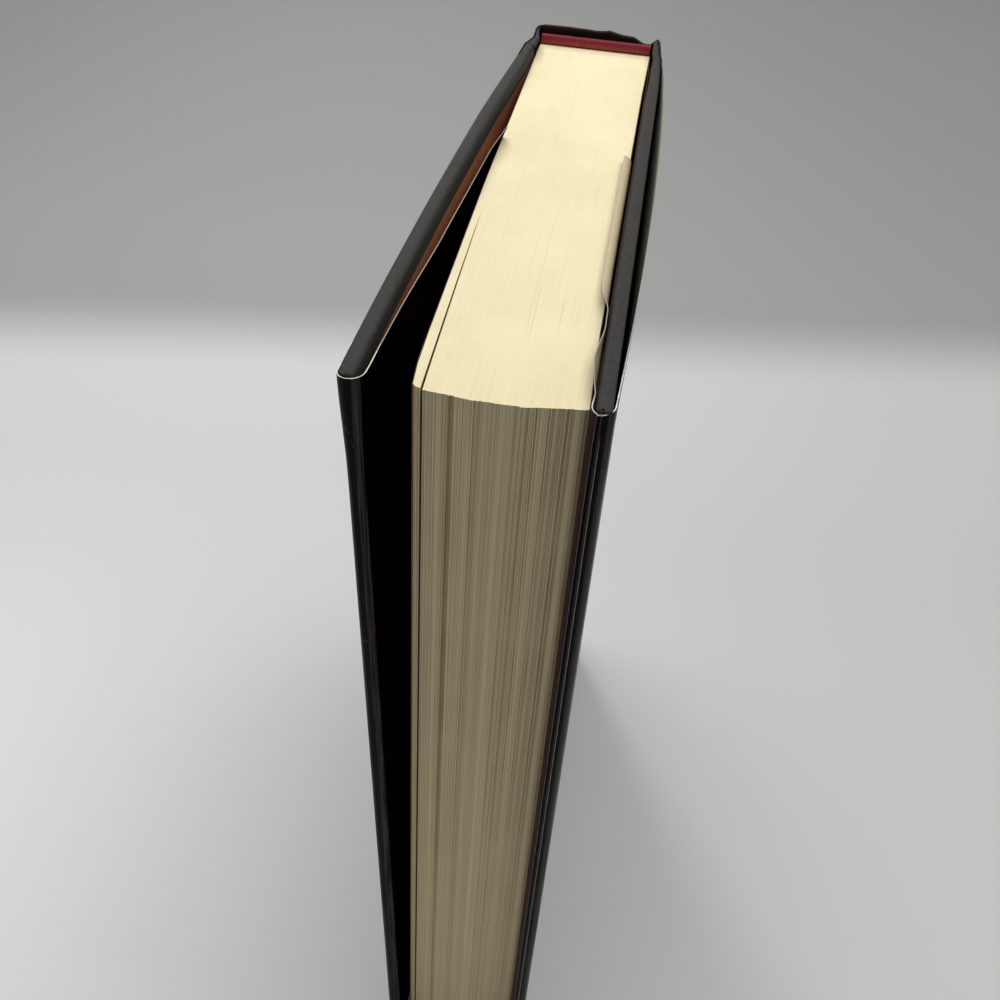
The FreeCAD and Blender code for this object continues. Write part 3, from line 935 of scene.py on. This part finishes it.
def with_spine_curve(points, out):
    """Puts the points beyond the spine's edge on its swelled back."""
    return [(u, spine_y(half + u, out)) if y > spine_edge_y + out / 2 and u < spine_edge_u + out - 1.5
            else (u, y) for u, y in points]


# Steps on the runs of joint_corners, from the point before the first one.
joint_counts = [4, 18, 6, 14]


def make_joint_covering(side):
    """Covering paper from the board's outer face through the groove and over half of the spine."""
    first = (cover_seat + case_thickness, 140.0, 0)
    grids = ([], [])
    for z in heights(0, case_height, 30, (1, 3, 5, 9)):
        corners = [first] + joint_corners(side, z, 0.0, covering_lift)
        line = with_spine_curve(round_path(corners, joint_counts), 0.0)
        inner = [(pressed(side, u, y, z) + 0.01, y) for u, y in line]
        outer = shifted(inner, -covering_thickness)
        outer[-1] = (inner[-1][0], inner[-1][1] + covering_thickness)
        for grid, line in zip(grids, (outer, inner)):
            grid.append([on_sheet(side, u, y, head_z(side, u, y, z)) for u, y in line])
    # the covering's cut edges take the turned-in paper's painted shade
    materials = [charcoal, charcoal, turned_in_painted_shade]
    piece = grid_sheet(word[side] + "_joint_covering", *grids, path_lengths(inner), materials)
    if side == FRONT:
        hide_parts("spine_covering")
    blended(piece)


for side in (FRONT, REAR):
    make_joint_covering(side)


# Width of the rounded fold at the joint's head and tail, at each depth.
turned_head_widths = {
    FRONT: ((146.0, 2.6), (149.0, 2.2), (152.7, 1.3), (155.5, 0.75), (159.0, 0.5), (162.0, 0.4)),
    REAR: ((146.0, 1.8), (151.7, 1.8), (154.5, 1.5), (157.7, 1.3), (159.0, 0.9), (162.0, 0.5))}
turned_head_height = 1.3


def squared(cosine):
    """0 to 1 across a rounded square for a cosine of 1 to -1."""
    return 0.5 - 0.5 * math.copysign(abs(cosine) ** 0.7, cosine)


def make_turned_head(side, edge_z, up, name):
    """Rounded fold of the covering paper along the joint's head or tail, up to the spine's edge."""
    first = (cover_seat + case_thickness, 146.2, 0)
    corners = [first] + joint_corners(side, edge_z, 0.0, covering_lift)
    path = round_path(corners, joint_counts, arc_steps=10)
    path = [(pressed(side, u, y, edge_z), y) for u, y in path]
    path = [(u, y) for u, y in path if u > spine_edge_u - 1.0 or y < spine_edge_y - 0.5]
    sides = 14
    bm = bmesh.new()
    rings = []
    for (u, y), (tu, ty) in zip(path, directions(path)):
        width = along(turned_head_widths[side], y)
        ring = []
        for k in range(sides):
            a = 2 * math.pi * k / sides
            across = width * squared(math.cos(a))
            z = edge_z - up * turned_head_height * squared(math.sin(a))
            ring.append(bm.verts.new(on_sheet(side, u - ty * across, y + tu * across, head_z(side, u, y, z))))
        rings.append(ring)
    add_tube_sides(bm, rings)
    bm.faces.new(rings[0])
    bm.faces.new(list(reversed(rings[-1])))
    piece = finish_mesh(name, bm, [charcoal])
    blended(piece)


for side in (FRONT, REAR):
    make_turned_head(side, case_height, 1, word[side] + "_joint_head")
    make_turned_head(side, 0.0, -1, word[side] + "_joint_tail")


# The inlay of the spine ends a little inside its edges.
inlay_half_width = half + spine_edge_u - 1.1
turn_in = 15.0


def make_spine_turn_in(name, edge_z, up):
    """The covering paper turned in over the inlay: down its inner side, and across its end."""
    t = covering_thickness
    inner = -inlay_thickness - t
    section = [(inner, down) for down in (turn_in, 10.0, 6.0, 3.0, 1.5, 0.35)]
    section += [(inner + 0.1, 0.1), (inner + 0.3, 0.0), (0.0, 0.0), (0.0, t)]
    section += [(inner + t, down) for down in (t, 1.5, 3.0, 6.0, 10.0, turn_in)]
    columns = 48
    bm = bmesh.new()
    rings = []
    for i in range(columns + 1):
        x = mix(-inlay_half_width, inlay_half_width, i / columns)
        ring = []
        for out, down in section:
            z = head_z(REAR, x - half, spine_edge_y, edge_z - up * down)
            ring.append(bm.verts.new(row(x, spine_y(x, 0.0) + out, z)))
        rings.append(ring)
    add_tube_sides(bm, rings)
    for ring in (rings[0], rings[-1]):
        bmesh.ops.triangulate(bm, faces=[bm.faces.new(ring)])
    # the turned-in paper carries painted shade and a brownish painted reflection
    piece = finish_mesh(name, bm, [turned_in_painted_shade])
    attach(piece, "book_block")


make_spine_turn_in("spine_turn_in_head", case_height, 1)
make_spine_turn_in("spine_turn_in_tail", 0.0, -1)


# Jacket: how far its fold stands off the board's fore-edge, the fold's radii inside and outside,
# the outer panel's bulge below and at the head, and the flap's depth.
jacket_fold_gaps = {FRONT: 0.3, REAR: 0.45}
jacket_fold_radii = {FRONT: (2.6, 1.7), REAR: (1.9, 2.9)}
jacket_bulges = {FRONT: (0.8, 0.8), REAR: (0.85, 2.05)}
jacket_head_low_z = 222.0
flap_depths = {FRONT: 101.8, REAR: 96.5}
flap_bend_share = 0.35
flap_bend_radius = 300.0

# Flaps at rest: (y, u) of the sheet along its head, where it curls towards the pages, and of the
# rear one lower down.
flap_heads = {
    FRONT: ((-3.4, 7.6), (-0.1, 7.3), (5.4, 7.05), (17.9, 6.25), (26.0, 5.6), (34.5, 4.8), (42.3, 4.1),
            (53.0, 3.41), (63.8, 2.62), (74.3, 1.9), (85.5, 1.1), (92.1, 0.17), (95.5, -0.33),
            (97.2, -0.45)),
    REAR: ((-3.4, 0.45), (-1.6, 0.4), (1.0, 0.58), (2.6, 0.34), (4.5, -0.01), (6.5, -0.24), (8.6, -0.41),
           (11.0, -0.58), (12.6, -0.51), (14.8, -0.3), (16.5, -0.12), (17.7, 0.08), (19.5, 0.3),
           (21.2, 0.38), (23.8, 0.3), (30.0, 0.3), (38.0, 0.15), (47.0, 0.05), (68.0, 0.0),
           (92.0, -0.1))}
rear_flap_low = ((-3.4, 0.5), (-0.5, 0.54), (10.0, 0.45), (19.0, 0.35), (29.0, 0.1), (47.0, -0.12),
                 (68.0, -0.12), (92.0, -0.1))
curl_low_z = 237.25
curl_high_z = 240.8


def jacket_corners(side, z):
    """Inner face of the jacket at a height, from the end of the flap to the board's middle."""
    share = z / case_height
    near_head = ramp(z, jacket_head_low_z, case_height)
    bow = bows[side]
    # how far the flap stands off the board at its fold, its bend and its end
    if side == FRONT:
        fold, bend, end = mix(0.3, 1.2, near_head), mix(0.35, 2.1, share), mix(0.4, 2.8, share)
    else:
        fold, bend, end = 0.4, 0.35, 0.3
    rise = mix(*jacket_bulges[side], near_head) / (1 - bow_bend_share / 2)
    fore_y = -fore_square - jacket_fold_gaps[side]
    bend_y = fore_y + flap_bend_share * flap_depths[side]
    end_y = fore_y + flap_depths[side]
    out = cover_seat + case_thickness + jacket_gap
    inner_radius, outer_radius = jacket_fold_radii[side]
    return [(board_inner(bow, end_y) - end, end_y, 0),
            (board_inner(bow, bend_y) - bend, bend_y, flap_bend_radius),
            (board_inner(bow, fore_y) - fold, fore_y, inner_radius),
            (out, fore_y, outer_radius),
            (out + rise, board_middle_y, bow_bend_share * board_half_depth ** 2 / rise)]


def curled(side, u, y, z):
    """A flap point's u, with the curl of its head and the waves of the rear one. The lines above
    are drawn at rest, so the cover's opening is taken off them."""
    lean = math.sin(math.radians(mix(*openings[side], z / case_height))) * (pivot_y - y)
    low = u if side == FRONT else along(rear_flap_low, y) - lean
    head_lean = math.sin(math.radians(openings[side][1])) * (pivot_y - y)
    head = along(flap_heads[side], y) - head_lean + jacket_thickness / 2
    if side == FRONT:
        head -= along(front_shape, y)
    moved = mix(low, head, ramp(z, curl_low_z, curl_high_z))
    return mix(u, moved, ramp(y, -3.6, 0.4))


roll_start_z = 237.6
roll_angle = 1.45


def rolled(side, u, y, z, inner_u):
    """A flap point's u and z where the head of the rear flap rolls over the pages."""
    length = z - roll_start_z
    angle = roll_angle * length / (case_height - jacket_trim - roll_start_z) * ramp(y, 26.0, 36.0)
    if side == FRONT or angle < 0.0001:
        return u, z
    away = u - inner_u
    return (inner_u - length * (1 - math.cos(angle)) / angle + away * math.cos(angle),
            roll_start_z + length * math.sin(angle) / angle + away * math.sin(angle))


def make_jacket(side):
    """Half of the jacket, from the end of its flap to the middle of the spine."""
    out = covering_thickness + jacket_gap
    close_levels = (0.5, 1.0, 1.5, 2.0, 2.5, 3.0, 3.5, 4.5, 8.0)
    levels = heights(jacket_trim, case_height - jacket_trim, 40, close_levels)
    counts = [16, 24, 4, 8, 8, 14, 6, 14]
    flap_points = 1 + counts[0] + corner_arc_steps + counts[1]
    inner_rows, outer_rows = [], []
    for z in levels:
        corners = jacket_corners(side, z)
        corners.append((cover_seat + case_thickness + jacket_gap, board_hinge_y, jacket_shoulder_radius))
        corners += joint_corners(side, z, out, jacket_lift)[1:]
        inner = with_spine_curve(round_path(corners, counts), out)
        inner = [(curled(side, u, y, z) if k < flap_points else pressed(side, u, y, z), y)
                 for k, (u, y) in enumerate(inner)]
        outer = shifted(inner, -jacket_thickness)
        outer[-1] = (inner[-1][0], inner[-1][1] + jacket_thickness)
        for rows, line in ((inner_rows, inner), (outer_rows, outer)):
            points = []
            for k, (u, y) in enumerate(line):
                level = head_z(side, u, y, z)
                if k < flap_points:
                    u, level = rolled(side, u, y, z, inner[k][0])
                points.append(on_sheet(side, u, y, level))
            rows.append(points)
    piece = grid_sheet("jacket_" + word[side] + "_half", outer_rows, inner_rows, path_lengths(inner),
                       [jacket_black[side], jacket_white, jacket_edge])
    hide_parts("jacket_" + word[side])
    if side == FRONT:
        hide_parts("jacket_spine")
    blended(piece)


for side in (FRONT, REAR):
    make_jacket(side)


# Floor, light and camera

horizon_slope = 0.19


def make_stage():
    """Pale floor with painted light, lighter towards the camera and to the left, that bends up into a darker
    wall behind the book.
    """
    paint = Paint("pale_floor", 0.8, specular=0.1)
    parts = paint.place()
    # painted light: floor and wall lighter to the left
    painted_light_across = paint.ramp(parts["X"], -0.25, 0.25)
    floor_far = paint.blend(painted_light_across, rgb(0.68, 0.688, 0.69), rgb(0.585, 0.593, 0.595))
    floor_near = paint.blend(painted_light_across, rgb(0.93, 0.935, 0.935), rgb(0.66, 0.668, 0.668))
    # painted light: the floor lighter towards the camera
    floor_tone = paint.blend(paint.ramp(parts["Y"], 0.18, -0.10), floor_far, floor_near)
    wall_tone = paint.blend(painted_light_across, rgb(0.37, 0.374, 0.37), rgb(0.345, 0.35, 0.35))
    depth = paint.maths("SUBTRACT", parts["Y"], paint.maths("MULTIPLY", parts["X"], horizon_slope))
    paint.colour(paint.blend(paint.ramp(depth, 0.255, 0.33), floor_tone, wall_tone))
    bm = bmesh.new()
    wall_y, bend, bend_steps = 0.60, 0.24, 16
    profile = [(-1.5, 0.0), (wall_y - bend, 0.0)]
    for k in range(1, bend_steps + 1):
        a = math.pi / 2 * k / bend_steps
        profile.append((wall_y - bend + bend * math.sin(a), bend * (1 - math.cos(a))))
    profile.append((wall_y, 2.2))
    columns = [[bm.verts.new((x, y, z - 0.0002)) for y, z in profile] for x in (-2.5, 2.5)]
    for k in range(len(profile) - 1):
        bm.faces.new([columns[0][k], columns[1][k], columns[1][k + 1], columns[0][k + 1]])
    floor = finish_mesh("floor", bm, [paint.material])


make_stage()


def area_light(name, place, target, size, power, colour):
    data = bpy.data.lights.new(name, "AREA")
    data.shape = "RECTANGLE"
    data.size, data.size_y = size
    data.energy = power
    data.color = colour
    lamp = bpy.data.objects.new(name, data)
    lamp.location = place
    lamp.rotation_mode = "QUATERNION"
    lamp.rotation_quaternion = (Vector(target) - Vector(place)).to_track_quat("-Z", "Y")
    bpy.context.scene.collection.objects.link(lamp)


area_light("overhead", (0.05, 0.35, 1.3), (0.0, 0.05, 0.1), (1.6, 0.8), 16.7, (1.0, 0.985, 0.955))
area_light("low_rear_left", (-0.24, 0.52, 0.56), (0.0, 0.0, 0.2), (0.12, 0.12), 1.2, (1.0, 0.99, 0.96))

world = bpy.data.worlds.new("studio")
world.use_nodes = True
world.node_tree.nodes["Background"].inputs["Color"].default_value = (0.95, 0.97, 1.0, 1.0)
world.node_tree.nodes["Background"].inputs["Strength"].default_value = 0.17
bpy.context.scene.world = world

bpy.context.scene.view_settings.view_transform = "Standard"

# Solved from the photographed edges of the text block.
camera_place = (33.0906 - half, -151.1877, 115.0203 + text_head)
camera_right = Vector((0.985557, 0.160538, 0.053905))
camera_down = Vector((0.147480, -0.657205, -0.739143))
camera_forward = Vector((-0.083234, 0.736417, -0.671388))
focal_pixels = 1148.52
photo_pixels = 1000
sensor_mm = 36.0

camera_data = bpy.data.cameras.new("camera")
camera_data.sensor_width = sensor_mm
camera_data.lens = focal_pixels / photo_pixels * sensor_mm
camera_data.clip_start, camera_data.clip_end = 0.01, 20
camera = bpy.data.objects.new("camera", camera_data)
turn = Matrix((camera_right, -camera_down, -camera_forward)).transposed()
camera.matrix_world = Matrix.Translation(row(*camera_place)) @ turn.to_4x4()
bpy.context.scene.collection.objects.link(camera)
bpy.context.scene.camera = camera
